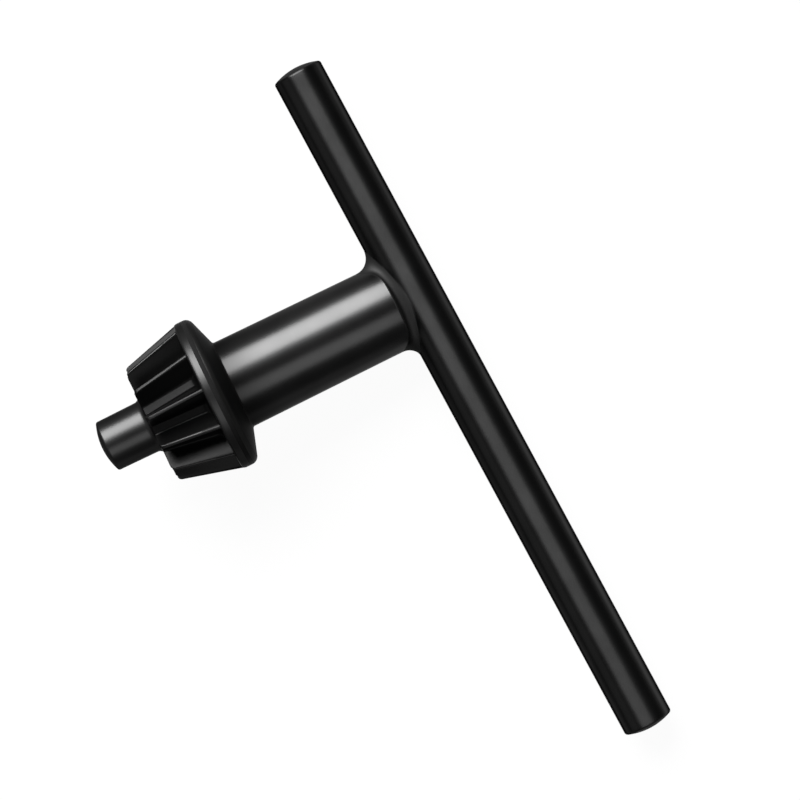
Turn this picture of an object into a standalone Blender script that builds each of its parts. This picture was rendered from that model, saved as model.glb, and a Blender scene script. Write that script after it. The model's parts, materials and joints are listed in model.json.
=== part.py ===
"""Drill chuck key, in metres with +Z up, lying as it comes to rest on a flat surface.

The key is one piece of black steel. A pilot leads into a bevel pinion with a flange behind it. A
round shaft runs back from the flange, and a plain bar handle crosses the shaft's end, with a long
arm, a short arm and a filleted neck.

The key is first built along its own axes. The shaft runs along +X with the pilot's tip at +X, the
long arm points to +Y, and the two centre lines cross at the origin. It is then turned and moved to
rest on z = 0, with the middle of its footprint at the origin.
"""
import math

import bmesh
import bpy
from mathutils import Matrix, Vector

MM = 0.001

# Handle bar
HANDLE_DIAMETER = 5.8 * MM
LONG_ARM = 56.0 * MM
SHORT_ARM = 29.2 * MM
HANDLE_CROWN = 0.62 * MM
HANDLE_EDGE_ROUND = 0.22 * MM
HANDLE_LEAN = math.radians(2.3)

# Shaft, from the handle's centre line to the back of the flange
SHAFT_LENGTH = 23.27 * MM
SHAFT_DIAMETER_AT_NECK = 10.2 * MM
SHAFT_DIAMETER_AT_FLANGE = 10.45 * MM

# Flange
FLANGE_DIAMETER = 18.06 * MM
FLANGE_BACK_ANGLE = math.radians(18.4)
FLANGE_BACK_ROUND = 1.07 * MM
FLANGE_FRONT_ROUND = 3.0 * MM
FLANGE_ROOT_FILLET = 0.25 * MM
RIM_WIDTH = 1.5 * MM

# Bevel pinion
TOOTH_COUNT = 12
TOOTH_LENGTH = 6.7 * MM
TOOTH_DEPTH = 2.42 * MM
TOOTH_LAND = 0.45 * MM
TOOTH_PHASE = math.radians(-7.0)
TOOTH_FRONT_ROUND = 0.65 * MM
TIP_CONE_ANGLE = math.radians(15.3)
ROOT_CONE_ANGLE = math.radians(14.25)
GAP_SETBACK = 0.82 * MM
GAP_FLOOR_WIDTH = 1.1 * MM
GAP_FLOOR_ROUND = 0.4 * MM
GAP_RUNOUT_ROUND = 0.7 * MM

# Pilot
PILOT_DIAMETER_AT_TIP = 5.94 * MM
PILOT_DIAMETER_AT_ROOT = 6.06 * MM
PILOT_LENGTH = 6.2 * MM
PILOT_CROWN = 0.62 * MM
PILOT_EDGE_ROUND = 0.3 * MM
PILOT_ROOT_FILLET = 0.7 * MM

# Neck, where the shaft's end runs into the handle
NECK_FILLET_LONG_ARM = 1.3 * MM
NECK_FILLET_SHORT_ARM = 2.25 * MM
NECK_SHOULDER_REACH = 0.2 * MM
NECK_SHOULDER_PULL = 1.25 * MM
NECK_FOOT_PULL = 1.15 * MM
NECK_WRAP_ANGLE = math.radians(67.7)
NECK_SHARPNESS = 6

# Facets
TURNED_SEGMENTS = 72
HANDLE_SEGMENTS = 48
ARC_STEPS = 4
CROWN_STEPS = 4
NECK_STEPS = 9

# Overlaps that keep joined and cut surfaces from lying on each other
JOIN_SINK = 0.012 * MM
CUT_MARGIN = 0.4 * MM

# Sizes that follow from the ones above
HANDLE_RADIUS = HANDLE_DIAMETER / 2
RIM_RADIUS = FLANGE_DIAMETER / 2
NECK_SHAFT_RADIUS = SHAFT_DIAMETER_AT_NECK / 2
FLANGE_SHAFT_RADIUS = SHAFT_DIAMETER_AT_FLANGE / 2
RIM_BACK = SHAFT_LENGTH + (RIM_RADIUS - FLANGE_SHAFT_RADIUS) * math.tan(FLANGE_BACK_ANGLE)
RIM_FRONT = RIM_BACK + RIM_WIDTH
GAP_END = RIM_FRONT + GAP_SETBACK
PINION_FRONT = GAP_END + TOOTH_LENGTH
PILOT_TIP = PINION_FRONT + PILOT_LENGTH
NECK_START = HANDLE_RADIUS + max(NECK_FILLET_LONG_ARM, NECK_FILLET_SHORT_ARM) + JOIN_SINK


def tip_radius(axial):
    """Radius of the cone over the tooth tips at a distance along the shaft."""
    return RIM_RADIUS - (axial - RIM_FRONT) * math.tan(TIP_CONE_ANGLE)


def root_radius(axial):
    """Radius of the cone under the tooth gaps at a distance along the shaft."""
    root_at_front = tip_radius(PINION_FRONT) - TOOTH_DEPTH
    return root_at_front + (PINION_FRONT - axial) * math.tan(ROOT_CONE_ANGLE)


def clear_scene():
    """Remove every object that the scene starts with."""
    for item in list(bpy.data.objects):
        bpy.data.objects.remove(item, do_unlink=True)


def make_collection(name):
    """Make a collection in the scene."""
    group = bpy.data.collections.new(name)
    bpy.context.scene.collection.children.link(group)
    return group


def black_steel():
    """Satin black finish on steel."""
    material = bpy.data.materials.new("black_steel")
    material.use_nodes = True
    shader = material.node_tree.nodes["Principled BSDF"]
    shader.inputs["Base Color"].default_value = (0.018, 0.018, 0.018, 1.0)
    shader.inputs["Metallic"].default_value = 0.3
    shader.inputs["Roughness"].default_value = 0.32
    return material


def crown(apex, rim_radius, height, toward):
    """Points of a domed end from its apex on the axis out to its rim, with no rounding."""
    sphere = (rim_radius ** 2 + height ** 2) / (2 * height)
    widest = math.asin(rim_radius / sphere)
    points = []
    for step in range(CROWN_STEPS + 1):
        angle = widest * step / CROWN_STEPS
        axial = apex - toward * sphere * (1 - math.cos(angle))
        points.append((axial, sphere * math.sin(angle), 0.0))
    return points


def rounded(corners):
    """Turn corners (axial, radius, rounding) into the points of one outline with arcs."""
    points = []
    last = len(corners) - 1
    for index, (axial, radius, rounding) in enumerate(corners):
        here = Vector((axial, radius))
        if index in (0, last) or rounding == 0:
            points.append(here)
            continue
        back = Vector(corners[index - 1][:2]) - here
        ahead = Vector(corners[index + 1][:2]) - here
        half_angle = back.angle(ahead) / 2
        reach = min(rounding / math.tan(half_angle), 0.49 * back.length, 0.49 * ahead.length)
        bisector = (back.normalized() + ahead.normalized()).normalized()
        centre = here + bisector * (reach / math.cos(half_angle))
        start = here + back.normalized() * reach - centre
        end = here + ahead.normalized() * reach - centre
        turn = start.angle_signed(end)
        for step in range(ARC_STEPS + 1):
            points.append(centre + Matrix.Rotation(-turn * step / ARC_STEPS, 2) @ start)
    return points


def lathe(name, outline, segments):
    """Turn an outline of (axial, radius) points, tip first, about the Z axis."""
    mesh = bpy.data.meshes.new(name)
    verts = [(point[1], 0.0, point[0]) for point in outline]
    edges = [(index, index + 1) for index in range(len(verts) - 1)]
    mesh.from_pydata(verts, edges, [])
    profile = bpy.data.objects.new(name, mesh)
    bpy.context.scene.collection.objects.link(profile)
    screw = profile.modifiers.new("turn", "SCREW")
    screw.steps = segments
    screw.render_steps = segments
    screw.use_merge_vertices = True
    screw.merge_threshold = 0.001 * MM
    bpy.context.view_layer.update()
    turned = bpy.data.meshes.new_from_object(profile.evaluated_get(bpy.context.evaluated_depsgraph_get()))
    bpy.data.objects.remove(profile, do_unlink=True)
    bpy.data.meshes.remove(mesh)
    turned.name = name
    return turned


def key_outline():
    """Outline of pilot, pinion blank, flange and shaft, from the pilot's apex to the neck."""
    pilot_tip_radius = PILOT_DIAMETER_AT_TIP / 2
    dome = crown(PILOT_TIP, pilot_tip_radius, PILOT_CROWN, toward=1)
    return rounded(dome[:-1] + [
        (PILOT_TIP - PILOT_CROWN, pilot_tip_radius, PILOT_EDGE_ROUND),
        (PINION_FRONT, PILOT_DIAMETER_AT_ROOT / 2, PILOT_ROOT_FILLET),
        (PINION_FRONT, tip_radius(PINION_FRONT), TOOTH_FRONT_ROUND),
        (RIM_FRONT, RIM_RADIUS, FLANGE_FRONT_ROUND),
        (RIM_BACK, RIM_RADIUS, FLANGE_BACK_ROUND),
        (SHAFT_LENGTH, FLANGE_SHAFT_RADIUS, FLANGE_ROOT_FILLET),
        (NECK_START, NECK_SHAFT_RADIUS, 0.0),
    ])


def handle_outline():
    """Outline of the handle bar, from the long arm's apex to the short arm's."""
    far_dome = crown(LONG_ARM, HANDLE_RADIUS, HANDLE_CROWN, toward=1)
    near_dome = crown(-SHORT_ARM, HANDLE_RADIUS, HANDLE_CROWN, toward=-1)
    side = [
        (LONG_ARM - HANDLE_CROWN, HANDLE_RADIUS, HANDLE_EDGE_ROUND),
        (HANDLE_CROWN - SHORT_ARM, HANDLE_RADIUS, HANDLE_EDGE_ROUND),
    ]
    return rounded(far_dome[:-1] + side + near_dome[-2::-1])


def handle_front(across, up, radius):
    """How far along the shaft a bar of this radius on the handle's centre line reaches."""
    depth = math.sqrt(radius ** 2 - up ** 2)
    return (depth - across * math.sin(HANDLE_LEAN)) / math.cos(HANDLE_LEAN)


def neck_curve(angle):
    """Control points (axial, radius) of the neck's surface in one half-plane about the shaft.

    The angle runs from +Z towards +Y. Beside the arms the surface is a plain fillet between the
    shaft and the handle's front. Above and below them it rolls over the shaft's end as a
    rounded shoulder and runs down to the handle.
    """
    side, up = math.sin(angle), math.cos(angle)
    fillet = NECK_FILLET_LONG_ARM if side > 0 else NECK_FILLET_SHORT_ARM
    beside = abs(side) ** NECK_SHARPNESS

    shoulder_start = HANDLE_RADIUS + NECK_SHOULDER_REACH * (1 - beside) + fillet * beside
    shoulder = Vector((shoulder_start, NECK_SHAFT_RADIUS))

    bar = HANDLE_RADIUS - JOIN_SINK
    foot_side = NECK_SHAFT_RADIUS + fillet
    foot_up = bar * math.sin(NECK_WRAP_ANGLE)
    foot_radius = 1 / math.hypot(side / foot_side, up / foot_up)
    foot = Vector((handle_front(foot_radius * side, foot_radius * up, bar), foot_radius))
    depth = math.sqrt(bar ** 2 - (foot_radius * up) ** 2)
    slope = (-foot_radius * up ** 2 / depth - side * math.sin(HANDLE_LEAN)) / math.cos(HANDLE_LEAN)
    along_bar = Vector((slope, 1.0)).normalized()

    quarter_circle = 0.5523 * fillet
    shoulder_pull = NECK_SHOULDER_PULL * (1 - beside) + quarter_circle * beside
    foot_pull = NECK_FOOT_PULL * (1 - beside) + quarter_circle * beside
    return [
        shoulder,
        shoulder + Vector((-shoulder_pull, 0.0)),
        foot - along_bar * foot_pull,
        foot,
    ]


def bezier(control, share):
    """Point on a cubic curve."""
    rest = 1 - share
    weights = (rest ** 3, 3 * rest ** 2 * share, 3 * rest * share ** 2, share ** 3)
    return sum((point * weight for point, weight in zip(control, weights)), Vector((0.0, 0.0)))


def bridge(bm, ring, next_ring):
    """Join two rings of points with a band of faces."""
    count = len(ring)
    for index in range(count):
        after = (index + 1) % count
        bm.faces.new((ring[index], next_ring[index], next_ring[after], ring[after]))


def add_neck(bm):
    """Carry the shaft's open end on to the handle and close it at the handle's centre."""
    ends = [edge for edge in bm.edges if edge.is_boundary]
    ring = sorted({vert for edge in ends for vert in edge.verts},
                  key=lambda vert: math.atan2(vert.co.y, vert.co.z))
    angles = [math.atan2(vert.co.y, vert.co.z) for vert in ring]
    curves = [neck_curve(angle) for angle in angles]
    for step in range(NECK_STEPS + 1):
        next_ring = []
        for angle, curve in zip(angles, curves):
            point = bezier(curve, step / NECK_STEPS)
            next_ring.append(bm.verts.new((point.x, point.y * math.sin(angle), point.y * math.cos(angle))))
        bridge(bm, ring, next_ring)
        ring = next_ring
    centre = bm.verts.new((0.0, 0.0, 0.0))
    for index, vert in enumerate(ring):
        bm.faces.new((vert, centre, ring[(index + 1) % len(ring)]))
    bmesh.ops.recalc_face_normals(bm, faces=bm.faces)


def make_body(mesh_name):
    """Pilot, pinion blank, flange, shaft and neck as one closed mesh along the shaft's axis."""
    mesh = lathe(mesh_name, key_outline(), TURNED_SEGMENTS)
    turn = Matrix.Rotation(-TOOTH_PHASE, 4, "X") @ Matrix.Rotation(math.radians(90), 4, "Y")
    bm = bmesh.new()
    bm.from_mesh(mesh)
    bm.transform(turn)
    add_neck(bm)
    bm.to_mesh(mesh)
    bm.free()
    return mesh


def make_handle(mesh_name):
    """The handle bar, crossing the shaft's axis at the origin."""
    mesh = lathe(mesh_name, handle_outline(), HANDLE_SEGMENTS)
    mesh.transform(Matrix.Rotation(HANDLE_LEAN, 4, "Z") @ Matrix.Rotation(math.radians(-90), 4, "X"))
    return mesh


def gap_section(axial, lift):
    """Outline (across, outward) of one tooth gap at a distance along the shaft.

    The flanks run from the floor to the edges of the neighbouring lands and on past the tips.
    Lift raises the floor without moving the flanks.
    """
    tip = tip_radius(axial)
    half_opening = math.pi / TOOTH_COUNT - TOOTH_LAND / 2 / tip
    edge = Vector((tip * math.sin(half_opening), tip * math.cos(half_opening)))
    floor = Vector((GAP_FLOOR_WIDTH / 2, root_radius(axial)))
    flank = (edge - floor) / (edge.y - floor.y)
    top = edge + flank * CUT_MARGIN
    floor = floor + flank * lift
    half = rounded([(0.0, floor.y, 0.0), (floor.x, floor.y, GAP_FLOOR_ROUND), (top.x, top.y, 0.0)])[1:]
    return [(-point.x, point.y) for point in reversed(half)] + [(point.x, point.y) for point in half]


def gap_stations():
    """Distances along the shaft and floor lifts, from the front to the rounded run-out."""
    stations = [(PINION_FRONT + CUT_MARGIN, 0.0)]
    for step in range(ARC_STEPS + 1):
        angle = math.radians(90) * step / ARC_STEPS
        stations.append((GAP_END + GAP_RUNOUT_ROUND * (1 - math.sin(angle)),
                         GAP_RUNOUT_ROUND * (1 - math.cos(angle))))
    return stations


def make_gaps(mesh_name):
    """Cutting bodies for every tooth gap."""
    bm = bmesh.new()
    for tooth in range(TOOTH_COUNT):
        angle = TOOTH_PHASE + math.tau * (tooth + 0.5) / TOOTH_COUNT
        across = Vector((0.0, math.cos(angle), -math.sin(angle)))
        outward = Vector((0.0, math.sin(angle), math.cos(angle)))
        rings = []
        for axial, lift in gap_stations():
            base = Vector((axial, 0.0, 0.0))
            rings.append([bm.verts.new(base + across * u + outward * v) for u, v in gap_section(axial, lift)])
        for ring, next_ring in zip(rings, rings[1:]):
            bridge(bm, ring, next_ring)
        bm.faces.new(rings[0])
        bm.faces.new(rings[-1])
    bmesh.ops.recalc_face_normals(bm, faces=bm.faces)
    mesh = bpy.data.meshes.new(mesh_name)
    bm.to_mesh(mesh)
    bm.free()
    return mesh


def add_tool(name, mesh, group, key, operation):
    """Put a joining or cutting body on the key as a Boolean, and let it follow the key."""
    tool = bpy.data.objects.new(name, mesh)
    tool.hide_render = True
    tool.display_type = "WIRE"
    tool.parent = key
    group.objects.link(tool)
    boolean = key.modifiers.new(name, "BOOLEAN")
    boolean.operation = operation
    boolean.solver = "EXACT"
    boolean.object = tool
    return tool


def finished_shape(key):
    """The key's shape with its modifiers, as a new bmesh in the key's own axes."""
    bpy.context.view_layer.update()
    evaluated = key.evaluated_get(bpy.context.evaluated_depsgraph_get())
    bm = bmesh.new()
    bm.from_mesh(evaluated.to_mesh())
    evaluated.to_mesh_clear()
    return bm


def centre_of_mass(bm):
    """Centre of mass of a closed shape, from the tetrahedra under its triangles."""
    volume = 0.0
    moment = Vector()
    for loops in bm.calc_loop_triangles():
        a, b, c = (loop.vert.co for loop in loops)
        share = a.dot(b.cross(c)) / 6
        volume += share
        moment += (a + b + c) * share / 4
    return moment / volume


def stands_on(face, centre):
    """Whether a body whose centre of mass is here stays put when it stands on this hull face."""
    normal = face.normal
    foot = centre - normal * (centre - face.verts[0].co).dot(normal)
    for loop in face.loops:
        start, end = loop.vert.co, loop.link_loop_next.vert.co
        if (end - start).cross(foot - start).dot(normal) < 0:
            return False
    return True


def lay_down(key):
    """Turn the key on to the side that faces -Z as it would come to rest, and centre it on z = 0."""
    bm = finished_shape(key)
    centre = centre_of_mass(bm)
    hull = bmesh.ops.convex_hull(bm, input=bm.verts, use_existing_faces=False)["geom"]
    faces = [item for item in hull if isinstance(item, bmesh.types.BMFace)]
    for face in faces:
        face.normal_update()
        if face.normal.dot(face.calc_center_median() - centre) < 0:
            face.normal_flip()
    floor = min((face for face in faces if stands_on(face, centre)), key=lambda face: face.normal.z)
    up = -floor.normal
    along = (Vector((1.0, 0.0, 0.0)) - up * up.x).normalized()
    turn = Matrix((along, up.cross(along), up)).to_4x4()
    placed = [turn @ vert.co for vert in bm.verts]
    low = Vector([min(point[axis] for point in placed) for axis in range(3)])
    high = Vector([max(point[axis] for point in placed) for axis in range(3)])
    middle = (low + high) / 2
    key.matrix_world = Matrix.Translation((-middle.x, -middle.y, -low.z)) @ turn
    bm.free()
    bpy.context.view_layer.update()


def build():
    """Build the chuck key."""
    clear_scene()
    parts = make_collection("drill_chuck_key")
    tools = make_collection("construction")
    key = bpy.data.objects.new("chuck_key", make_body("chuck_key"))
    key.data.materials.append(black_steel())
    parts.objects.link(key)
    add_tool("tooth_gaps", make_gaps("tooth_gaps"), tools, key, "DIFFERENCE")
    add_tool("handle_bar", make_handle("handle_bar"), tools, key, "UNION")
    key.data.shade_smooth()
    key.data.set_sharp_from_angle(angle=math.radians(30))
    lay_down(key)


build()
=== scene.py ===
"""Looks of the drill chuck key, in metres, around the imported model.

The key is one piece of steel with a satin black finish. It is modelled along its own axes, which
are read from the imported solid: the shaft along X with the pilot's tip at +X, the handle along Y
with the long arm at +Y, and both centre lines through the origin. It then takes the solid's place
as it lies on the floor.
"""
import json
import logging
import math
from dataclasses import dataclass, field
from enum import Enum

import bmesh
import bpy
import numpy as np
from mathutils import Matrix, Vector


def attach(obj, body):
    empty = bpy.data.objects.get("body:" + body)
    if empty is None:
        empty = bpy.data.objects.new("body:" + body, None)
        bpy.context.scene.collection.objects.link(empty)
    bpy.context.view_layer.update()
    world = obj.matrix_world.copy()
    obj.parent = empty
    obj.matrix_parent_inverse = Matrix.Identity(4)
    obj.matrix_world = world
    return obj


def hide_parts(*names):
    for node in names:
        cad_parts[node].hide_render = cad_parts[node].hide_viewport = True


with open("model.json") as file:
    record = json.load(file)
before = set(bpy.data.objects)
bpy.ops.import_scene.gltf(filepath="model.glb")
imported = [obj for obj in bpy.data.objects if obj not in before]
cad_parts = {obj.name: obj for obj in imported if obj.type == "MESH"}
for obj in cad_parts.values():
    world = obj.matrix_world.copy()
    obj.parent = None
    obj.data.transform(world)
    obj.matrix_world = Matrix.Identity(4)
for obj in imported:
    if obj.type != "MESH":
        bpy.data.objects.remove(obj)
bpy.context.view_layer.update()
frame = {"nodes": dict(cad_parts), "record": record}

CAD_NODE = "chuck_key"
BODY = "root"
MM = 0.001

# Length of a cubic curve's control arm for a quarter circle, as a share of its radius.
QUARTER_ARC = 0.5523

log = logging.getLogger("chuck_key")


class Zone(Enum):
    """Parts of the key's surface that carry different tool marks, by material slot."""

    SHAFT = 0
    PILOT = 1
    RIM = 2
    BAR = 3
    CUT = 4
    NECK = 5
    SCALE = 6
    BACK = 7


@dataclass(frozen=True)
class KeyAxes:
    """The key's own axes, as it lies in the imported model.

    Args:
        matrix: Takes the key's own axes to the row frame.
        pilot_tip: Distance from the crossing of the centre lines to the pilot's apex.
        long_arm: Distance from the crossing to the long arm's apex.
        short_arm: Distance from the crossing to the short arm's apex.
        lean: Angle by which the long arm leans away from the pilot.
    """

    matrix: Matrix
    pilot_tip: float
    long_arm: float
    short_arm: float
    lean: float

    @classmethod
    def read(cls, node: bpy.types.Object, shaft_axis: Vector) -> "KeyAxes":
        """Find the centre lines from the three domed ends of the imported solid.

        Args:
            node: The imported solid.
            shaft_axis: Direction of the shaft towards the pilot's tip.

        Returns:
            The key's axes and the reach of its three ends.
        """
        corners = [node.matrix_world @ vert.co for vert in node.data.vertices]
        along = shaft_axis.normalized()
        tip = max(corners, key=lambda point: point.dot(along))
        far_end = max(corners, key=lambda point: point.y)
        near_end = min(corners, key=lambda point: point.y)
        bar = (far_end - near_end).normalized()
        up = along.cross(bar).normalized()
        across = up.cross(along)
        lean = math.atan2(-bar.dot(along), bar.dot(across))
        reach = (near_end - tip).dot(across) / bar.dot(across)
        crossing_along = (near_end - bar * reach - tip).dot(along)
        crossing = tip + along * crossing_along
        turn = Matrix((along, across, up)).transposed().to_4x4()
        return cls(
            matrix=Matrix.Translation(crossing) @ turn,
            pilot_tip=-crossing_along,
            long_arm=(far_end - crossing).dot(bar),
            short_arm=(crossing - near_end).dot(bar),
            lean=lean,
        )


def rounded(corners: list[tuple[float, float, float]], steps: int) -> list[tuple[float, float]]:
    """Turn corners into an outline with an arc at each rounded one.

    Args:
        corners: Points as (axial, radius, rounding).
        steps: Facets in each arc.

    Returns:
        Points as (axial, radius).
    """
    points = []
    last = len(corners) - 1
    for index, (axial, radius, rounding) in enumerate(corners):
        here = Vector((axial, radius))
        if index in (0, last) or rounding == 0:
            points.append((axial, radius))
            continue
        back = Vector(corners[index - 1][:2]) - here
        ahead = Vector(corners[index + 1][:2]) - here
        half_angle = back.angle(ahead) / 2
        reach = rounding / math.tan(half_angle)
        bisector = (back.normalized() + ahead.normalized()).normalized()
        centre = here + bisector * (reach / math.cos(half_angle))
        start = here + back.normalized() * reach - centre
        end = here + ahead.normalized() * reach - centre
        turn = start.angle_signed(end)
        for step in range(steps + 1):
            point = centre + Matrix.Rotation(-turn * step / steps, 2) @ start
            points.append((point.x, point.y))
    return points


def spaced(start: tuple[float, float], end: tuple[float, float], count: int) -> list[tuple[float, float]]:
    """Space points evenly between two outline points.

    Args:
        start: Point as (axial, radius).
        end: Point as (axial, radius).
        count: Number of points in between.

    Returns:
        The points in between, without the two themselves.
    """
    shares = [(step + 1) / (count + 1) for step in range(count)]
    return [(start[0] + (end[0] - start[0]) * s, start[1] + (end[1] - start[1]) * s) for s in shares]


@dataclass(frozen=True)
class DomedEnd:
    """A slightly domed end of a round bar, with a small rounded edge.

    Args:
        radius: Radius of the bar.
        height: Height of the dome's apex above its rim.
        edge_round: Rounding between the dome and the bar's side.
        steps: Facets from the apex to the rim.
    """

    radius: float
    height: float
    edge_round: float
    steps: int = 10

    def outline(self, apex: float) -> list[tuple[float, float]]:
        """Points from just off the apex to the bar's side, along a bar that ends at this apex.

        Args:
            apex: Axial place of the apex, with the bar running to lower values.

        Returns:
            Points as (axial, radius).
        """
        sphere = (self.radius ** 2 + self.height ** 2) / (2 * self.height)
        widest = math.asin(self.radius / sphere)
        dome = []
        for step in range(1, self.steps):
            angle = widest * step / self.steps
            dome.append((apex - sphere * (1 - math.cos(angle)), sphere * math.sin(angle), 0.0))
        rim = (apex - self.height, self.radius, self.edge_round)
        side = (apex - self.height - 2 * self.edge_round, self.radius, 0.0)
        return rounded(dome + [rim, side], self.steps // 2)


@dataclass(frozen=True)
class Pilot:
    """The plain stub that enters the chuck's guide hole.

    Args:
        tip_diameter: Diameter behind the domed tip.
        root_diameter: Diameter at the pinion.
        crown: Height of the domed tip.
        edge_round: Rounding of the tip's edge.
        root_fillet: Fillet between the pilot and the pinion's front face.
        face_ring: Radius at which the pinion's front face goes on.
        side_rings: Rings along the pilot's side.
    """

    tip_diameter: float = 6.03 * MM
    root_diameter: float = 6.15 * MM
    crown: float = 0.62 * MM
    edge_round: float = 0.3 * MM
    root_fillet: float = 0.7 * MM
    face_ring: float = 4.1 * MM
    side_rings: int = 4

    def outline(self, apex: float, pinion_front: float) -> list[tuple[float, float]]:
        """Points from the apex down the pilot and on to the pinion's front face.

        Args:
            apex: Axial place of the tip's apex.
            pinion_front: Axial place of the pinion's front face.

        Returns:
            Points as (axial, radius).
        """
        end = DomedEnd(self.tip_diameter / 2, self.crown, self.edge_round)
        points = end.outline(apex)
        root = rounded([
            (*points[-1], 0.0),
            (pinion_front, self.root_diameter / 2, self.root_fillet),
            (pinion_front, self.face_ring, 0.0),
        ], steps=8)
        return points + spaced(points[-1], root[1], self.side_rings) + root[1:]


@dataclass(frozen=True)
class Pinion:
    """The bevel pinion's blank and its tooth gaps.

    Args:
        teeth: Number of teeth.
        phase: Turn of the teeth about the shaft.
        length: From the end of the gaps at the flange to the front face.
        depth: Depth of the gaps at the front face.
        land: Width of the flat on each tooth's tip.
        front_round: Rounding of the blank's front corner.
        tip_angle: Slope of the cone over the tips.
        root_angle: Slope of the cone under the gaps.
        floor_width: Width of the gaps' flat floor.
        floor_blend: Softening of the corner between floor and flank.
        land_blend: Softening of the corner between flank and land.
        land_edge: Depth below the blank at which the land's finish ends.
        runout_round: Radius of the cutter's run-out against the flange.
        edge_break: Softening of the edge round the front face.
        gap_rings: Rings along the straight part of the gaps.
        runout_rings: Facets in the run-out.
        edge_rings: Facets in the gaps' rounded edge at the flange.
    """

    teeth: int = 12
    phase: float = math.radians(-7.0)
    length: float = 7.11 * MM
    depth: float = 2.42 * MM
    land: float = 0.45 * MM
    front_round: float = 0.65 * MM
    tip_angle: float = math.radians(15.3)
    root_angle: float = math.radians(14.25)
    floor_width: float = 1.1 * MM
    floor_blend: float = 0.3 * MM
    land_blend: float = 0.42 * MM
    land_edge: float = 0.07 * MM
    runout_round: float = 0.7 * MM
    edge_break: float = 0.1 * MM
    gap_rings: int = 16
    runout_rings: int = 10
    edge_rings: int = 6

    def half_pitch_angles(self) -> np.ndarray:
        """Angles from a gap's middle to the next land's middle.

        Returns:
            Angles that stand closest at the floor's corner and at the land.
        """
        floor_and_corner = [0, 1.5, 3, 4.2, 5.2, 6.1, 7.2]
        flank = [8.5, 9.8, 11, 11.9]
        land = [12.5, 12.9, 13.2, 13.5, 13.8, 14.1, 14.5, 15]
        degrees_for_twelve_teeth = np.array(floor_and_corner + flank + land)
        return np.radians(degrees_for_twelve_teeth * 12 / self.teeth)

    def angles(self) -> tuple[np.ndarray, np.ndarray]:
        """Every angle round the key, and for each the angle from the middle of its gap.

        Returns:
            Angles from +Z towards +Y, and the unsigned angles from the nearest gap's middle.
        """
        half = self.half_pitch_angles()
        one_gap = np.concatenate([-half[:0:-1], half[:-1]])
        middles = self.phase + math.tau * (np.arange(self.teeth) + 0.5) / self.teeth
        around = (middles[:, None] + one_gap[None, :]).ravel()
        return around, np.tile(np.abs(one_gap), self.teeth)


@dataclass(frozen=True)
class Flange:
    """The flange behind the teeth.

    Args:
        diameter: Diameter of the rim.
        back_angle: Slope of the back, from square to the shaft.
        back_round: Rounding between rim and back.
        front_round: Rounding between rim and tooth cone.
        root_fillet: Fillet between the back and the shaft.
        rim_width: Width of the rim between its two corners.
        burnished_width: How much of the rim is burnished, from its front corner.
        gap_setback: From the rim's front corner to the end of the tooth gaps.
        front_edge_round: Rounding of the edge where the gaps end.
        edge_clearance: From the end of the gaps to the rim's first ring, in those roundings.
        corner_steps: Facets in each rounded corner.
        shaft_rings: Rings along the shaft behind the flange.
    """

    diameter: float = 18.12 * MM
    back_angle: float = math.radians(18.4)
    back_round: float = 1.0 * MM
    front_round: float = 0.8 * MM
    root_fillet: float = 0.3 * MM
    rim_width: float = 1.5 * MM
    burnished_width: float = 0.56 * MM
    gap_setback: float = 0.41 * MM
    front_edge_round: float = 0.22 * MM
    edge_clearance: float = 1.2
    corner_steps: int = 12
    shaft_rings: int = 24


@dataclass(frozen=True)
class Shaft:
    """The round shaft between the flange and the handle.

    Args:
        length: From the handle's centre line to the corner at the flange.
        neck_diameter: Diameter at the neck.
        flange_diameter: Diameter at the flange.
    """

    length: float = 23.27 * MM
    neck_diameter: float = 10.28 * MM
    flange_diameter: float = 10.53 * MM


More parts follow.
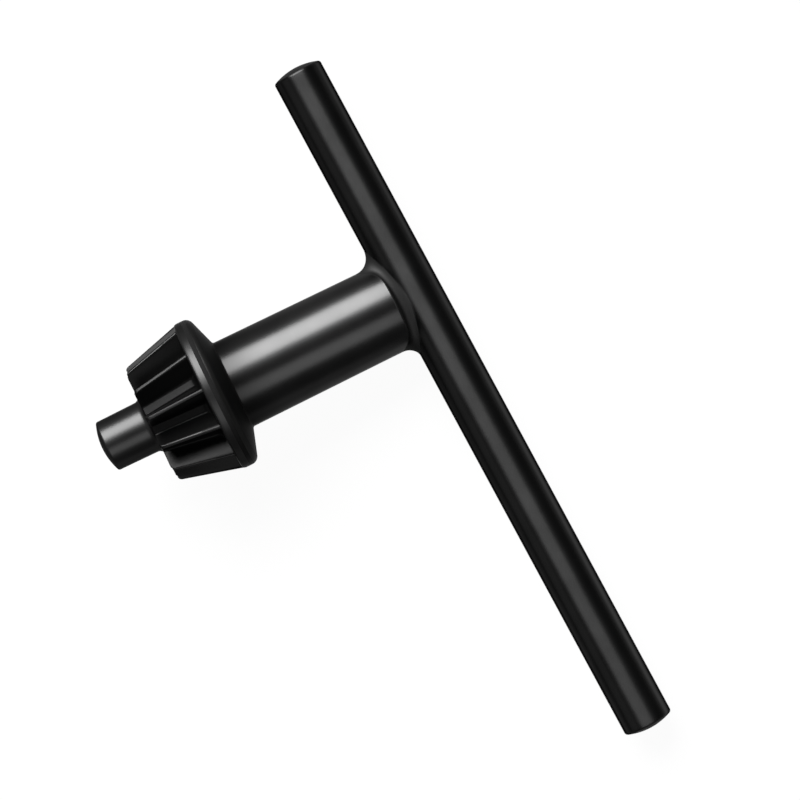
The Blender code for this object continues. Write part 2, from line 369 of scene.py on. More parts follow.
@dataclass(frozen=True)
class Neck:
    """The filleted joint between the shaft's end and the handle.

    Args:
        long_arm_fillet: Fillet in the corner with the long arm.
        short_arm_fillet: Fillet in the corner with the short arm.
        shoulder_setback: How far the shoulder stands behind the handle's front.
        shoulder_edge: Rounding of the shoulder's edge.
        wall_share: Length of the shoulder's wall, as a share of the drop to the handle.
        wall_slant: Slant of that wall.
        foot_pull: How far the neck runs along the handle's surface before it rises.
        wrap_angle: How far round the handle the neck reaches, from its front.
        foot_squareness: Exponent of the foot's outline, where 2 is an ellipse.
        sharpness: How quickly the shoulder turns into the fillets beside the handle.
        sink: How far the foot lies below the handle's surface.
        steps: Facets from the shoulder to the foot.
        edge_steps: Facets in the shoulder's edge.
    """

    long_arm_fillet: float = 1.3 * MM
    short_arm_fillet: float = 2.25 * MM
    shoulder_setback: float = 0.3 * MM
    shoulder_edge: float = 0.15 * MM
    wall_share: float = 1.06
    wall_slant: float = math.radians(3.0)
    foot_pull: float = 1.8 * MM
    wrap_angle: float = math.radians(72.0)
    foot_squareness: float = 2.4
    sharpness: int = 6
    sink: float = 0.006 * MM
    steps: int = 28
    edge_steps: int = 4

    def curve(self, angle: float, shaft_radius: float, bar: "Handle") -> list[Vector]:
        """Control points of the neck's surface in one half-plane about the shaft.

        Args:
            angle: Angle of the half-plane, from +Z towards +Y.
            shaft_radius: Radius of the shaft where the neck starts.
            bar: The handle that the neck runs on to.

        Returns:
            Four points as (axial, radius), from the shoulder to the handle.
        """
        side, up = math.sin(angle), math.cos(angle)
        fillet = self.long_arm_fillet if side > 0 else self.short_arm_fillet
        beside = abs(side) ** self.sharpness
        start = bar.radius - self.shoulder_setback * (1 - beside) + fillet * beside
        shoulder = Vector((start, shaft_radius - self.shoulder_edge * (1 - beside)))

        radius = bar.radius - self.sink
        foot_side = shaft_radius + fillet
        foot_up = radius * math.sin(self.wrap_angle)
        power = self.foot_squareness
        reach = (abs(side / foot_side) ** power + abs(up / foot_up) ** power) ** (-1 / power)
        depth = math.sqrt(radius ** 2 - (reach * up) ** 2)
        foot = Vector(((depth - reach * side * math.sin(bar.lean)) / math.cos(bar.lean), reach))
        slope = (-reach * up ** 2 / depth - side * math.sin(bar.lean)) / math.cos(bar.lean)
        along_bar = Vector((slope, 1.0)).normalized()

        quarter_circle = QUARTER_ARC * fillet
        drop = max(shaft_radius - reach, 0.0) * self.wall_share * (1 - beside)
        wall = Vector((-drop * math.tan(self.wall_slant) - quarter_circle * beside, -drop))
        foot_pull = self.foot_pull * (1 - beside) + quarter_circle * beside
        return [shoulder, shoulder + wall, foot - along_bar * foot_pull, foot]

    def edge(self, angle: float, step: int, shoulder: Vector, shaft_radius: float) -> Vector:
        """One point of the shoulder's rounded edge, which fades out beside the handle.

        Args:
            angle: Angle of the half-plane about the shaft.
            step: Number of the point, from 0 on the shaft to edge_steps on the neck.
            shoulder: Where the neck starts.
            shaft_radius: Radius of the shaft there.

        Returns:
            The point as (axial, radius).
        """
        beside = abs(math.sin(angle)) ** self.sharpness
        share = step / self.edge_steps
        turn = math.pi / 2 * share
        advance = math.sin(turn) * (1 - beside) + share * beside
        fall = (1 - math.cos(turn)) * (1 - beside)
        axial = shoulder.x + self.shoulder_edge * (1 - advance)
        return Vector((axial, shaft_radius - self.shoulder_edge * fall))

    def rings(self, around: np.ndarray, shaft_radius: float, bar: "Handle") -> list[np.ndarray]:
        """Rings of points from the shaft's end to the handle.

        Args:
            around: Angles of the points in each ring.
            shaft_radius: Radius of the shaft where the neck starts.
            bar: The handle that the neck runs on to.

        Returns:
            Arrays of points in the key's own axes.
        """
        controls = [self.curve(a, shaft_radius, bar) for a in around]
        rings = []
        for step in range(self.edge_steps):
            edge = [self.edge(a, step, points[0], shaft_radius) for a, points in zip(around, controls)]
            rings.append(ring(np.array([p.x for p in edge]), np.array([p.y for p in edge]), around))
        curves = np.array([[tuple(point) for point in points] for points in controls])
        for step in range(self.steps + 1):
            t = step / self.steps
            weights = np.array([(1 - t) ** 3, 3 * (1 - t) ** 2 * t, 3 * (1 - t) * t ** 2, t ** 3])
            flat = np.einsum("w,nwk->nk", weights, curves)
            rings.append(ring(flat[:, 0], flat[:, 1], around))
        return rings


@dataclass(frozen=True)
class Handle:
    """The plain bar across the shaft's end.

    Args:
        lean: Angle by which the long arm leans away from the pilot.
        diameter: Diameter of the bar.
        crown: Height of the domed ends.
        edge_round: Rounding of the ends' edges.
        segments: Facets round the bar.
        side_rings: Rings along the bar.
    """

    lean: float
    diameter: float = 5.89 * MM
    crown: float = 0.62 * MM
    edge_round: float = 0.35 * MM
    segments: int = 144
    side_rings: int = 60

    @property
    def radius(self) -> float:
        """Half the bar's diameter."""
        return self.diameter / 2

    def outline(self, long_arm: float, short_arm: float) -> list[tuple[float, float]]:
        """Points along the bar from just off the long arm's apex to just off the short arm's.

        Args:
            long_arm: Distance from the crossing to the long arm's apex.
            short_arm: Distance from the crossing to the short arm's apex.

        Returns:
            Points as (axial, radius).
        """
        end = DomedEnd(self.radius, self.crown, self.edge_round)
        far = end.outline(long_arm)
        near = [(-axial, radius) for axial, radius in reversed(end.outline(short_arm))]
        return far + spaced(far[-1], near[0], self.side_rings) + near

    def direction(self) -> Vector:
        """The bar's direction towards the long arm, in the key's own axes."""
        return Vector((-math.sin(self.lean), math.cos(self.lean), 0.0))


def ring(axial: np.ndarray | float, radii: np.ndarray | float, around: np.ndarray) -> np.ndarray:
    """One ring of points about the X axis.

    Args:
        axial: Place along X, one for all points or one each.
        radii: Distance from the axis, one for all points or one each.
        around: Angles of the points, from +Z towards +Y.

    Returns:
        An array of points.
    """
    axial = np.broadcast_to(axial, around.shape)
    return np.stack([axial, radii * np.sin(around), radii * np.cos(around)], axis=1)


def loft(name: str, rings: list[np.ndarray], start: np.ndarray, end: np.ndarray) -> bpy.types.Mesh:
    """Join rings of points into one closed mesh, with a point at each end.

    Args:
        name: Name of the mesh.
        rings: Rings with equal numbers of points.
        start: Point before the first ring.
        end: Point after the last ring.

    Returns:
        The mesh.
    """
    count = len(rings[0])
    points = np.vstack([start[None, :], *rings, end[None, :]])
    this = np.arange(count)
    after = (this + 1) % count
    faces = [(0, 1 + i, 1 + j) for i, j in zip(this.tolist(), after.tolist())]
    for level in range(len(rings) - 1):
        low = 1 + level * count
        high = low + count
        band = np.stack([this + low, this + high, after + high, after + low], axis=1)
        faces.extend(map(tuple, band.tolist()))
    last = 1 + (len(rings) - 1) * count
    tail = len(points) - 1
    faces.extend((last + i, tail, last + j) for i, j in zip(this.tolist(), after.tolist()))
    mesh = bpy.data.meshes.new(name)
    mesh.from_pydata([tuple(point) for point in points.tolist()], [], faces)
    mesh.validate()
    bm = bmesh.new()
    bm.from_mesh(mesh)
    bmesh.ops.recalc_face_normals(bm, faces=bm.faces)
    bm.to_mesh(mesh)
    bm.free()
    return mesh


def soft_max(a: np.ndarray, b: np.ndarray, blend: float) -> np.ndarray:
    """The larger of two values, with a rounded change from one to the other.

    Args:
        a: First values.
        b: Second values.
        blend: Difference at which the rounding starts.

    Returns:
        The larger values, raised a little where the two are close.
    """
    share = np.clip(0.5 + 0.5 * (a - b) / blend, 0.0, 1.0)
    return b + (a - b) * share + blend * share * (1 - share)


def soft_min(a: np.ndarray, b: np.ndarray, blend: float) -> np.ndarray:
    """The smaller of two values, with a rounded change from one to the other."""
    return -soft_max(-a, -b, blend)


@dataclass
class PinionShaft:
    """Pilot, pinion, flange, shaft and neck, as rings along the shaft's axis.

    Args:
        axes: The key's own axes and reaches.
        handle: The bar that the neck runs on to.
        pilot: Sizes of the pilot.
        pinion: Sizes of the pinion.
        flange: Sizes of the flange.
        shaft: Sizes of the shaft.
        neck: Sizes of the neck.
    """

    axes: KeyAxes
    handle: Handle
    pilot: Pilot = field(default_factory=Pilot)
    pinion: Pinion = field(default_factory=Pinion)
    flange: Flange = field(default_factory=Flange)
    shaft: Shaft = field(default_factory=Shaft)
    neck: Neck = field(default_factory=Neck)

    def __post_init__(self) -> None:
        """Work out the places along the shaft."""
        rim = self.flange.diameter / 2
        rise = rim - self.shaft.flange_diameter / 2
        self.rim_radius = rim
        self.rim_back = self.shaft.length + rise * math.tan(self.flange.back_angle)
        self.rim_front = self.rim_back + self.flange.rim_width
        self.gap_end = self.rim_front + self.flange.gap_setback
        self.pinion_front = self.gap_end + self.pinion.length
        self.around, self.from_gap = self.pinion.angles()

    def tip_radius(self, axial: float) -> float:
        """Radius of the cone over the tooth tips."""
        return self.rim_radius - (axial - self.rim_front) * math.tan(self.pinion.tip_angle)

    def root_radius(self, axial: float) -> float:
        """Radius of the cone under the tooth gaps."""
        front = self.tip_radius(self.pinion_front) - self.pinion.depth
        return front + (self.pinion_front - axial) * math.tan(self.pinion.root_angle)

    def blank_corner(self) -> list[tuple[float, float]]:
        """The blank's rounded front corner.

        Returns:
            Points as (axial, radius), from the front face to the cone over the tips.
        """
        front = self.pinion_front
        runout_start = self.gap_end + self.pinion.runout_round
        return rounded([
            (front, self.pilot.face_ring, 0.0),
            (front, self.tip_radius(front), self.pinion.front_round),
            (runout_start, self.tip_radius(runout_start), 0.0),
        ], steps=8)[1:-1]

    def blank_radius(self, axial: float) -> float:
        """Radius of the uncut blank.

        Args:
            axial: Place along the shaft.

        Returns:
            The radius there, over the cone or in its rounded front corner.
        """
        corner = self.blank_corner()
        if axial < corner[-1][0]:
            return self.tip_radius(axial)
        places, radii = zip(*reversed(corner))
        return float(np.interp(axial, places, radii))

    def gap_radius(self, axial: float, lift: float) -> np.ndarray:
        """How far from the axis the tooth gaps leave steel, at each angle.

        Args:
            axial: Place along the shaft.
            lift: How far the gaps' floor is raised at their run-out.

        Returns:
            A radius for each angle, past the tooth tips where a gap leaves them whole.
        """
        pinion = self.pinion
        tip = self.tip_radius(axial)
        half_opening = math.pi / pinion.teeth - pinion.land / 2 / tip
        edge_across, edge_out = tip * math.sin(half_opening), tip * math.cos(half_opening)
        floor_half = pinion.floor_width / 2
        floor_out = self.root_radius(axial)
        slope = (edge_across - floor_half) / (edge_out - floor_out)
        floor = (floor_out + lift) / np.cos(self.from_gap)
        flank = (floor_half - floor_out * slope) / (np.sin(self.from_gap) - slope * np.cos(self.from_gap))
        return soft_max(floor, flank, pinion.floor_blend)

    def tooth_ring(self, axial: float, blank: float) -> np.ndarray:
        """One ring through the teeth where the gaps have their full depth.

        Args:
            axial: Place along the shaft.
            blank: Radius of the uncut blank there.

        Returns:
            The ring's points.
        """
        gap = self.gap_radius(axial, 0.0)
        return ring(axial, soft_min(gap, np.full_like(gap, blank), self.pinion.land_blend), self.around)

    def runout_ring(self, axial: float, lift: float, wall: float) -> np.ndarray:
        """One ring where the gaps run out against the flange.

        Args:
            axial: Place along the shaft.
            lift: How far the gaps' floor is raised.
            wall: How far below the blank the gaps' end wall has come, as a share of its rounded edge.

        Returns:
            The ring's points.
        """
        blank = self.tip_radius(axial)
        gap = np.maximum(self.gap_radius(axial, lift), blank - self.flange.front_edge_round * wall)
        blend = max(self.pinion.land_blend * min(wall, 1.0), 0.001 * MM)
        return ring(axial, soft_min(gap, np.full_like(gap, blank), blend), self.around)

    def tooth_rings(self) -> list[np.ndarray]:
        """Rings from the pinion's front face to the flange's front edge.

        Returns:
            Arrays of points in the key's own axes.
        """
        pinion, flange = self.pinion, self.flange
        front, end = self.pinion_front, self.gap_end
        runout_start = end + pinion.runout_round
        corner = self.blank_corner()

        face_edge = np.minimum(self.gap_radius(front, 0.0), corner[0][1]) - pinion.edge_break
        rings = [ring(front, face_edge, self.around)]
        rings += [self.tooth_ring(min(axial, front - pinion.edge_break), blank) for axial, blank in corner]
        gap_start = (runout_start, self.tip_radius(runout_start))
        for axial, blank in spaced(corner[-1], gap_start, pinion.gap_rings):
            rings.append(self.tooth_ring(axial, blank))

        for step in range(pinion.runout_rings + 1):
            angle = math.pi / 2 * step / pinion.runout_rings
            axial = end + pinion.runout_round * (1 - math.sin(angle))
            lift = pinion.runout_round * (1 - math.cos(angle))
            rings.append(self.runout_ring(axial, lift, self.tip_radius(axial) / flange.front_edge_round))

        for step in range(pinion.edge_rings + 1):
            angle = math.pi / 2 * step / pinion.edge_rings
            axial = end - flange.front_edge_round * (1 - math.cos(angle))
            rings.append(self.runout_ring(axial, pinion.runout_round, 1 - math.sin(angle)))
        return rings

    def rim_outline(self) -> list[tuple[float, float]]:
        """Outline of the flange's rim and back, and of the shaft.

        Returns:
            Points as (axial, radius), from the end of the tooth gaps to the neck.
        """
        flange = self.flange
        front_edge = self.gap_end - flange.edge_clearance * flange.front_edge_round
        rim = rounded([
            (front_edge, self.tip_radius(front_edge), 0.0),
            (self.rim_front, self.rim_radius, flange.front_round),
            (self.rim_front - flange.burnished_width, self.rim_radius, 0.0),
            (self.rim_back, self.rim_radius, flange.back_round),
            (self.shaft.length, self.shaft.flange_diameter / 2, flange.root_fillet),
            (self.neck_start(), self.shaft.neck_diameter / 2, 0.0),
        ], steps=flange.corner_steps)
        return rim[:-1] + spaced(rim[-2], rim[-1], flange.shaft_rings) + rim[-1:]

    def neck_start(self) -> float:
        """Where the neck's widest fillet leaves the shaft."""
        widest = max(self.neck.long_arm_fillet, self.neck.short_arm_fillet)
        return self.handle.radius + widest + 2 * self.neck.shoulder_edge

    def shoulder_start(self, across: float, up: float) -> float:
        """Where the neck leaves the shaft, in the half-plane of a point beside the axis.

        Args:
            across: Place of the point along Y.
            up: Place of the point along Z.

        Returns:
            Axial place of the neck's start.
        """
        angle = math.atan2(across, up)
        curve = self.neck.curve(angle, self.shaft.neck_diameter / 2, self.handle)
        return curve[0].x + self.neck.shoulder_edge

    def mesh(self) -> bpy.types.Mesh:
        """Make the body from the pilot's tip to the neck's foot.

        Returns:
            The closed mesh in the key's own axes.
        """
        apex = self.axes.pilot_tip
        pilot = self.pilot.outline(apex, self.pinion_front)
        rings = [ring(axial, radius, self.around) for axial, radius in pilot]
        rings += self.tooth_rings()
        rings += [ring(axial, radius, self.around) for axial, radius in self.rim_outline()]
        rings += self.neck.rings(self.around, self.shaft.neck_diameter / 2, self.handle)
        return loft("pinion_shaft", rings, np.array([apex, 0.0, 0.0]), np.zeros(3))


@dataclass
class HandleBar:
    """The handle bar, as rings along its own axis.

    Args:
        axes: The key's own axes and reaches.
        handle: The bar's sizes.
    """

    axes: KeyAxes
    handle: Handle

    def mesh(self) -> bpy.types.Mesh:
        """Make the bar with its two domed ends.

        Returns:
            The closed mesh in the key's own axes.
        """
        around = math.tau * np.arange(self.handle.segments) / self.handle.segments
        outline = self.handle.outline(self.axes.long_arm, self.axes.short_arm)
        rings = [ring(axial, radius, around) for axial, radius in outline]
        ends = np.array([self.axes.long_arm, 0.0, 0.0]), np.array([-self.axes.short_arm, 0.0, 0.0])
        mesh = loft("handle_bar", rings, *ends)
        mesh.transform(Matrix.Rotation(self.handle.lean + math.radians(90), 4, "Z"))
        return mesh


class Wiring:
    """Short ways to add and join the nodes of one material."""

    def __init__(self, name: str) -> None:
        """Start an empty material with an output.

        Args:
            name: Name of the material.
        """
        self.material = bpy.data.materials.new(name)
        self.material.use_nodes = True
        self.tree = self.material.node_tree
        self.tree.nodes.clear()
        self.output = self.tree.nodes.new("ShaderNodeOutputMaterial")

    def add(self, kind: str, **settings: object) -> bpy.types.Node:
        """Add a node and set its properties.

        Args:
            kind: Type of the node.
            settings: Its properties by name.

        Returns:
            The node.
        """
        node = self.tree.nodes.new(kind)
        for key, value in settings.items():
            setattr(node, key, value)
        return node

    def join(self, source: bpy.types.NodeSocket, target: bpy.types.NodeSocket) -> None:
        """Link two sockets."""
        self.tree.links.new(source, target)

    def math(self, operation: str, first: object, second: object = None) -> bpy.types.NodeSocket:
        """Add a Math node on sockets or numbers.

        Args:
            operation: What the node works out.
            first: First socket or number.
            second: Second socket or number, where the operation has one.

        Returns:
            The result's socket.
        """
        node = self.add("ShaderNodeMath", operation=operation)
        for socket, value in zip(node.inputs, (first, second)):
            if isinstance(value, bpy.types.NodeSocket):
                self.join(value, socket)
            elif value is not None:
                socket.default_value = value
        return node.outputs[0]


@dataclass(frozen=True)
class BlackFinish:
    """Satin black finish on steel, with the fine marks of the tool that cut the surface, and painted shade
    towards one place where it is asked for.

    Args:
        name: Name of the material.
        axis: Direction of the bar that carries the marks, in the row frame.
        spread: How much further the gloss spreads along that direction than round the bar.
        roughness: Mean roughness.
        roughness_swing: How far the blotches raise or lower the roughness.
        grain: Spacing of the finest marks.
        relief: Height of the finest marks.
        reflection: Mean share of the light that is reflected straight on.
        mottle: How far the blotches raise or lower the reflection, as a share of it.
        blotches: Blotches in a metre.
        edge_tint: Reflection of the surface seen at a slant.
        painted_shade_centre: Place towards which painted shade darkens the colour, where the flange shades
            the shaft from the main lamp, or None for no painted shade.
        painted_shade_reach: Distance over which the painted shade deepens.
        painted_shade_depth: Share of the reflection that the painted shade takes away at that place.
        painted_shade_margin: Distance beyond that place at which the painted shade ends and the colour is
            even again.
    """

    name: str
    axis: Vector
    spread: float
    roughness: float
    roughness_swing: float = 0.03
    grain: float = 0.08 * MM
    relief: float = 0.001 * MM
    reflection: float = 0.0915
    mottle: float = 0.2
    blotches: float = 260.0
    edge_tint: float = 0.38
    painted_shade_centre: Vector | None = None
    painted_shade_reach: float = 7.0 * MM
    painted_shade_depth: float = 0.5
    painted_shade_margin: float = 0.2 * MM

    def build(self) -> bpy.types.Material:
        """Make the material.

        Returns:
            The material.
        """
        wiring = Wiring(self.name)
        shader = wiring.add("ShaderNodeBsdfPrincipled")
        wiring.join(shader.outputs[0], wiring.output.inputs["Surface"])
        shader.inputs["Metallic"].default_value = 1.0
        shader.inputs["Specular Tint"].default_value = (self.edge_tint, self.edge_tint, self.edge_tint, 1.0)
        place = wiring.add("ShaderNodeNewGeometry").outputs["Position"]

        blotch = wiring.add("ShaderNodeTexNoise")
        blotch.inputs["Scale"].default_value = self.blotches
        blotch.inputs["Detail"].default_value = 4.0
        wiring.join(place, blotch.inputs["Vector"])
        tone = wiring.add("ShaderNodeMapRange")
        tone.inputs["To Min"].default_value = self.reflection * (1 - self.mottle)
        tone.inputs["To Max"].default_value = self.reflection * (1 + self.mottle)
        wiring.join(blotch.outputs["Fac"], tone.inputs["Value"])
        colour = tone.outputs["Result"]
        # Painted shade: the colour darkens towards the flange's back, where the flange shades the shaft from
        # the main lamp.
        if self.painted_shade_centre is not None:
            colour = wiring.math("MULTIPLY", colour, self.shade(wiring, place))
        wiring.join(colour, shader.inputs["Base Color"])
        gloss = wiring.add("ShaderNodeMapRange")
        gloss.inputs["To Min"].default_value = self.roughness - self.roughness_swing
        gloss.inputs["To Max"].default_value = self.roughness + self.roughness_swing
        wiring.join(blotch.outputs["Fac"], gloss.inputs["Value"])
        wiring.join(gloss.outputs["Result"], shader.inputs["Roughness"])

        marks = wiring.add("ShaderNodeTexNoise")
        marks.inputs["Scale"].default_value = 1.0 / self.grain
        marks.inputs["Detail"].default_value = 3.0
        marks.noise_dimensions = "1D"
        along = wiring.add("ShaderNodeVectorMath", operation="DOT_PRODUCT")
        wiring.join(place, along.inputs[0])
        along.inputs[1].default_value = self.axis
        wiring.join(along.outputs["Value"], marks.inputs["W"])
        shader.inputs["Anisotropic"].default_value = self.spread
        direction = wiring.add("ShaderNodeCombineXYZ")
        for socket, value in zip(direction.inputs, self.axis):
            socket.default_value = value
        wiring.join(direction.outputs[0], shader.inputs["Tangent"])
        bump = wiring.add("ShaderNodeBump")
        bump.inputs["Strength"].default_value = 1.0
        bump.inputs["Distance"].default_value = self.relief
        wiring.join(marks.outputs["Fac"], bump.inputs["Height"])
        wiring.join(bump.outputs["Normal"], shader.inputs["Normal"])
        return wiring.material

    def shade(self, wiring: Wiring, place: bpy.types.NodeSocket) -> bpy.types.NodeSocket:
        """Paint shade into the colour towards the shoulder at the shade's centre, where the flange shades the
        shaft from the main lamp.

        Args:
            wiring: The material's nodes.
            place: Position of the shaded point.

        Returns:
            A factor that darkens the colour with the painted shade.
        """
        offset = wiring.add("ShaderNodeVectorMath", operation="SUBTRACT")
        wiring.join(place, offset.inputs[0])
        offset.inputs[1].default_value = self.painted_shade_centre
        along = wiring.add("ShaderNodeVectorMath", operation="DOT_PRODUCT")
        wiring.join(offset.outputs[0], along.inputs[0])
        along.inputs[1].default_value = self.axis
        near = wiring.add("ShaderNodeMapRange", interpolation_type="SMOOTHSTEP")
        near.inputs["From Min"].default_value = -self.painted_shade_reach
        near.inputs["From Max"].default_value = 0.0
        near.inputs["To Min"].default_value = 1.0
        near.inputs["To Max"].default_value = 1.0 - self.painted_shade_depth
        wiring.join(along.outputs["Value"], near.inputs["Value"])
        beyond = wiring.math("GREATER_THAN", along.outputs["Value"], self.painted_shade_margin)
        return wiring.math("MAXIMUM", near.outputs["Result"], beyond)


@dataclass(frozen=True)
class MatteBlack:
    """Dull black oxide on a surface that was cut or forged and not polished.

    Args:
        name: Name of the material.
        shade: Mean reflectance.
        roughness: Mean roughness.
        gloss: Strength of the surface reflection, where 0.5 is that of plain paint.
        grain: Size of the surface's grains.
        relief: Height of the grains.
        shade_swing: How far the grains raise or lower the reflectance, as a share of it.
        roughness_swing: How far they raise or lower the roughness, as a share of it.
    """

    name: str
    shade: float
    roughness: float
    gloss: float
    grain: float = 0.25 * MM
    relief: float = 0.003 * MM
    shade_swing: float = 0.2
    roughness_swing: float = 0.08

    def build(self) -> bpy.types.Material:
        """Make the material.

        Returns:
            The material.
        """
        wiring = Wiring(self.name)
        shader = wiring.add("ShaderNodeBsdfPrincipled")
        wiring.join(shader.outputs[0], wiring.output.inputs["Surface"])
        shader.inputs["Specular IOR Level"].default_value = self.gloss
        place = wiring.add("ShaderNodeNewGeometry").outputs["Position"]
        grain = wiring.add("ShaderNodeTexNoise")
        grain.inputs["Scale"].default_value = 1.0 / self.grain
        grain.inputs["Detail"].default_value = 3.0
        wiring.join(place, grain.inputs["Vector"])
        for name, middle, swing in (
            ("Base Color", self.shade, self.shade_swing),
            ("Roughness", self.roughness, self.roughness_swing),
        ):
            spread = wiring.add("ShaderNodeMapRange")
            spread.inputs["To Min"].default_value = middle * (1 - swing)
            spread.inputs["To Max"].default_value = middle * (1 + swing)
            wiring.join(grain.outputs["Fac"], spread.inputs["Value"])
            wiring.join(spread.outputs["Result"], shader.inputs[name])
        bump = wiring.add("ShaderNodeBump")
        bump.inputs["Strength"].default_value = 1.0
        bump.inputs["Distance"].default_value = self.relief
        wiring.join(grain.outputs["Fac"], bump.inputs["Height"])
        wiring.join(bump.outputs["Normal"], shader.inputs["Normal"])
        return wiring.material


@dataclass
class ChuckKey:
    """The whole key: its two forms joined into one piece of steel, and its finish.

    Args:
        axes: The key's own axes and reaches.
        bar_margin: Distance outside the bar's surface that still counts as the bar.
        pilot_margin: From the pinion's front face to where the pilot's finish ends.
        end_facing: How squarely a face looks along the shaft or bar to count as its end.
        back_corner_facing: The same for the rim's rounded back corner.
        front_facing: The same for the pinion's front face.
        sharp_edge: Angle from which an edge is shaded sharp.
    """

    axes: KeyAxes
    bar_margin: float = 0.02 * MM
    pilot_margin: float = 0.1 * MM
    end_facing: float = 0.8
    back_corner_facing: float = 0.35
    front_facing: float = 0.6
    sharp_edge: float = math.radians(40)

    def __post_init__(self) -> None:
        """Make the two forms."""
        self.handle = Handle(lean=self.axes.lean)
        self.stem = PinionShaft(self.axes, self.handle)
        self.bar = HandleBar(self.axes, self.handle)

    def build(self) -> bpy.types.Object:
        """Join the forms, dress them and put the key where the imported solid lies.

        Returns:
            The finished piece.
        """
        key = bpy.data.objects.new("black_chuck_key", self.stem.mesh())
        tool = bpy.data.objects.new("bar", self.bar.mesh())
        for item in (key, tool):
            bpy.context.scene.collection.objects.link(item)
        union = key.modifiers.new("join", "BOOLEAN")
        union.operation = "UNION"
        union.solver = "EXACT"
        union.object = tool
        bpy.context.view_layer.update()
        joined = bpy.data.meshes.new_from_object(key.evaluated_get(bpy.context.evaluated_depsgraph_get()))
        key.modifiers.remove(union)
        key.data = joined
        joined.name = "black_chuck_key"
        bpy.data.objects.remove(tool, do_unlink=True)
        self.dress(joined)
        joined.transform(self.axes.matrix)
        return key

    def dress(self, mesh: bpy.types.Mesh) -> None:
        """Give each zone its finish and shade the mesh smooth.

        Args:
            mesh: The joined mesh in the key's own axes.
        """
        turn = self.axes.matrix.to_3x3()
        along = turn @ Vector((1, 0, 0))
        # Place towards which the shaft's painted shade deepens: the flange's back, which shades the shaft
        # from the main lamp.
        shoulder = self.axes.matrix @ Vector((self.stem.rim_back, 0, 0))
        along_bar = turn @ self.handle.direction()
        finishes = {
            # The shaft's colour carries painted shade towards the flange's back.
            Zone.SHAFT: BlackFinish("shaft_black", along, spread=0.35, roughness=0.32, painted_shade_centre=shoulder),
            Zone.PILOT: BlackFinish("pilot_black", along, spread=0.35, roughness=0.37, reflection=0.087),
            Zone.RIM: BlackFinish("rim_black", along, spread=0.1, roughness=0.39, reflection=0.078),
            Zone.BAR: BlackFinish("bar_black", along_bar, spread=0.82, roughness=0.36,
                                  reflection=0.067, edge_tint=0.2),
            Zone.CUT: MatteBlack("cut_black", shade=0.003, roughness=0.32, gloss=0.18),
            Zone.NECK: BlackFinish("neck_black", along, spread=0.0, roughness=0.62, reflection=0.06),
            Zone.SCALE: MatteBlack("scale_black", shade=0.015, roughness=0.6, gloss=0.075),
            Zone.BACK: BlackFinish("flange_back_black", along, spread=0.0, roughness=0.47, reflection=0.067),
        }
        mesh.materials.clear()
        for zone in Zone:
            mesh.materials.append(finishes[zone].build())
        for face in mesh.polygons:
            face.material_index = self.zone(face.center, face.normal).value
        mesh.shade_smooth()
        mesh.set_sharp_from_angle(angle=self.sharp_edge)

    def zone(self, centre: Vector, normal: Vector) -> Zone:
        """Find the zone that a face belongs to.

        Args:
            centre: The face's middle, in the key's own axes.
            normal: The face's normal, in the key's own axes.

        Returns:
            The zone.
        """
        stem = self.stem
        bar_axis = self.handle.direction()
        off_bar = (centre - bar_axis * centre.dot(bar_axis)).length
        if off_bar < self.handle.radius + self.bar_margin:
            return Zone.BACK if abs(normal.dot(bar_axis)) > self.end_facing else Zone.BAR
        if centre.x < stem.shoulder_start(centre.y, centre.z):
            return Zone.NECK
        if centre.x < stem.shaft.length:
            return Zone.SHAFT
        if centre.x < stem.rim_front - stem.flange.burnished_width:
            if normal.x < -self.end_facing:
                return Zone.BACK
            return Zone.RIM if normal.x < -self.back_corner_facing else Zone.SCALE
        if centre.x > stem.pinion_front + self.pilot_margin:
            return Zone.BACK if normal.x > self.end_facing else Zone.PILOT
        if normal.x > self.front_facing:
            return Zone.CUT
        depth = stem.blank_radius(centre.x) - math.hypot(centre.y, centre.z)
        if centre.x > stem.gap_end:
            return Zone.CUT if depth > stem.pinion.land_edge else Zone.RIM
        return Zone.SCALE if centre.x > stem.gap_end - stem.flange.front_edge_round else Zone.RIM


@dataclass(frozen=True)
class Softbox:
    """A rectangular lamp that faces the key.

    Args:
        name: Name of the lamp.
        along: Angle from straight above, towards the pilot's tip.
        across: Angle from straight above, towards the long arm.
        width: Size along the shaft.
        height: Size across it.
        power: Power in watts.
        distance: Distance from the point that it faces.
    """

    name: str
    along: float
    across: float
    width: float
    height: float
    power: float
    distance: float = 0.80

    def build(self, axes: KeyAxes, target: Vector) -> bpy.types.Object:
        """Make the lamp and aim it.

        Args:
            axes: The key's own axes.
            target: The point that the lamp faces, in the key's own axes.

        Returns:
            The lamp.
        """
        lamp = bpy.data.lights.new(self.name, "AREA")
        lamp.shape = "RECTANGLE"
        lamp.size = self.width
        lamp.size_y = self.height
        lamp.energy = self.power
        item = bpy.data.objects.new(self.name, lamp)
        bpy.context.scene.collection.objects.link(item)
        away = Vector((math.tan(self.along), math.tan(self.across), 1.0)).normalized()
        side = (Vector((1, 0, 0)) - away * away.x).normalized()
        turn = Matrix((side, away.cross(side), away)).transposed().to_4x4()
        item.matrix_world = axes.matrix @ Matrix.Translation(target + away * self.distance) @ turn
        return item


